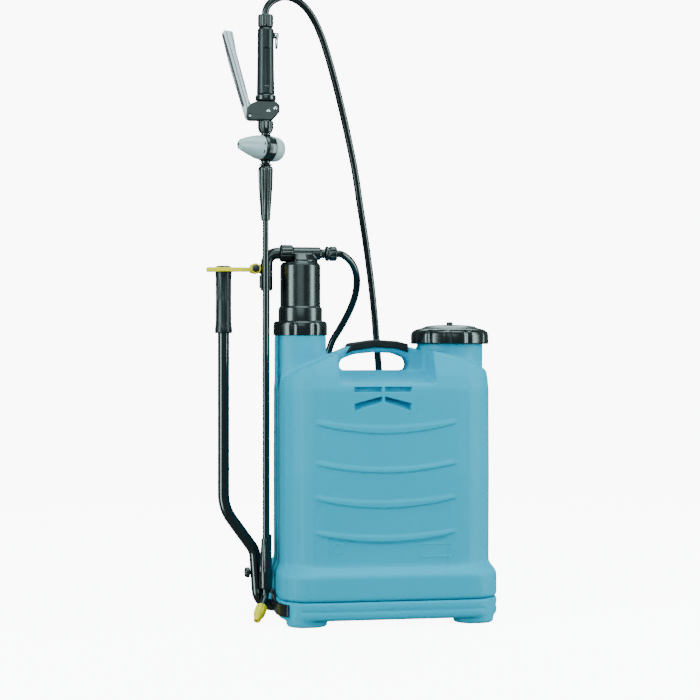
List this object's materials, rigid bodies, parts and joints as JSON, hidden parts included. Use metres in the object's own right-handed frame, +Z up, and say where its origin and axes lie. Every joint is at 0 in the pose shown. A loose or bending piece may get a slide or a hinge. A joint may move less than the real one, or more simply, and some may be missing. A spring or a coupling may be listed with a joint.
{
  "type": "backpack sprayer",
  "caption": "Knapsack sprayer: blue water tank with carry handle, side lever pump, hose, stowed trigger lance, filler cap and back straps.",
  "frame": {"origin": "middle of the bottom of the box around everything but the hose, on the floor", "axes": "+Z up, +Y towards the wearer's back, where the straps are, +X to the right seen from the front"},
  "size_m": [0.398, 0.2332, 0.8607],
  "materials": {
    "black_painted_steel": "gloss black enamel",
    "black_plastic": "semi-gloss injection moulded",
    "black_rubber": "matt",
    "bright_steel": "bright zinc plate",
    "grey_plastic": "satin",
    "hose_rubber": "smooth, semi-gloss",
    "natural_plastic": "unpigmented polyethylene",
    "silver_plastic": "semi-gloss grey",
    "strap_padding": "woven cover over foam",
    "strap_webbing": "woven polypropylene webbing",
    "tank_blue": "glossy blow-moulded polyethylene",
    "yellow_plastic": "semi-gloss"
  },
  "bodies": {
    "tank": {"tank_shell": "tank_blue", "carry_grip": "black_plastic", "base_skirt": "tank_blue", "axle_bush_outer": "natural_plastic", "axle_bush_inner": "natural_plastic", "strainer_basket": "natural_plastic", "pump_nut": "black_plastic", "pump_cylinder": "natural_plastic", "foot_valve": "natural_plastic", "intake_ball": "bright_steel", "lance_rest": "black_plastic", "strap_anchor_bar": "black_plastic", "strap_hook_bar": "black_plastic", "strap_pad_left": "strap_padding", "strap_pad_right": "strap_padding", "strap_buckle_left": "black_plastic", "strap_buckle_right": "black_plastic", "strap_web_left": "strap_webbing", "strap_web_right": "strap_webbing"},
    "lever": {"lever_tube": "black_painted_steel", "lever_bolt": "black_plastic", "lever_grip": "black_rubber", "axle_end_clip": "bright_steel"},
    "pump": {"pressure_chamber": "black_plastic", "piston": "natural_plastic", "piston_cup_seal": "black_rubber", "outlet_ball": "bright_steel", "pump_head": "black_plastic", "rod_boss_nut": "black_plastic", "hose_nut_pump": "black_plastic", "hose_pump_side": "hose_rubber"},
    "rod": {"rod_elbow": "black_plastic", "link_rod": "black_painted_steel", "rod_eye": "black_plastic", "rod_eye_rivet": "bright_steel", "lever_clip_pin": "black_plastic"},
    "clip": {"lever_clip": "yellow_plastic"},
    "cap": {"filler_cap": "black_plastic", "cap_gasket": "black_rubber", "cap_vent_valve": "black_rubber"},
    "lance": {"hose_nut_lance": "black_plastic", "valve_grip": "black_plastic", "grip_collar": "black_plastic", "valve_body": "black_plastic", "trigger_pin": "bright_steel", "valve_spring": "bright_steel", "lance_nut": "black_plastic", "regulator_body": "black_plastic", "regulator_cap": "grey_plastic", "lance_cone_upper": "black_plastic", "lance_tube": "black_painted_steel", "lance_cone_lower": "black_plastic", "lance_elbow": "black_plastic", "nozzle_core": "natural_plastic", "hose_lance_side": "hose_rubber"},
    "trigger": {"trigger": "silver_plastic"},
    "stem": {"valve_stem": "bright_steel"},
    "loop": {"hanging_loop": "bright_steel"},
    "knob": {"regulator_knob": "grey_plastic"},
    "nozzle": {"nozzle_cap": "yellow_plastic"}
  },
  "joints": [
    {"name": "lever_swing", "type": "hinge", "parent": "tank", "child": "lever", "pos_m": [-0.066, -0.01162, 0.018], "axis": [-1, 0, 0], "range_deg": [0, 90]},
    {"name": "pump_stroke", "type": "slide", "parent": "tank", "child": "pump", "axis": [0, 0, -1], "range_m": [0, 0.0486]},
    {"name": "rod_swing", "type": "hinge", "parent": "pump", "child": "rod", "pos_m": [-0.091, -0.01162, 0.505], "axis": [1, 0, 0], "range_deg": [0, 6.05]},
    {"name": "clip_swing", "type": "hinge", "parent": "rod", "child": "clip", "pos_m": [-0.133, -0.01162, 0.483], "axis": [0, 1, 0], "range_deg": [0, 80]},
    {"name": "cap_lift", "type": "slide", "parent": "tank", "child": "cap", "axis": [0, 0, 1], "range_m": [0, 0.06]},
    {"name": "lance_lift", "type": "slide", "parent": "tank", "child": "lance", "axis": [0, 0, 1], "range_m": [0, 0.06]},
    {"name": "trigger_squeeze", "type": "hinge", "parent": "lance", "child": "trigger", "pos_m": [-0.143, -0.03762, 0.69], "axis": [0, 1, 0], "range_deg": [0, 15], "stiffness_Nm_per_rad": 1.5, "springref_deg": -14.32},
    {"name": "stem_push", "type": "slide", "parent": "lance", "child": "stem", "axis": [1, 0, 0], "range_m": [0, 0.0023], "deforming": ["valve_spring"]},
    {"name": "loop_swing", "type": "hinge", "parent": "lance", "child": "loop", "pos_m": [-0.1055, -0.03762, 0.802], "axis": [0, -1, 0], "range_deg": [0, 100]},
    {"name": "regulator_turn", "type": "hinge", "parent": "lance", "child": "knob", "pos_m": [-0.119, -0.03762, 0.647], "axis": [-0.9054, -0.4202, 0.06], "range_deg": [0, 270]},
    {"name": "nozzle_turn", "type": "hinge", "parent": "lance", "child": "nozzle", "pos_m": [-0.12698, -0.0495, 0.02212], "axis": [-0.3599, -0.6597, -0.6597], "range_deg": [0, 270]}
  ],
  "couplings": [
    {"joint": "pump_stroke", "follows": "lever_swing", "m_per_rad": 0.030816},
    {"joint": "rod_swing", "follows": "lever_swing", "ratio": 0.066526},
    {"joint": "stem_push", "follows": "trigger_squeeze", "m_per_rad": 0.008403}
  ]
}
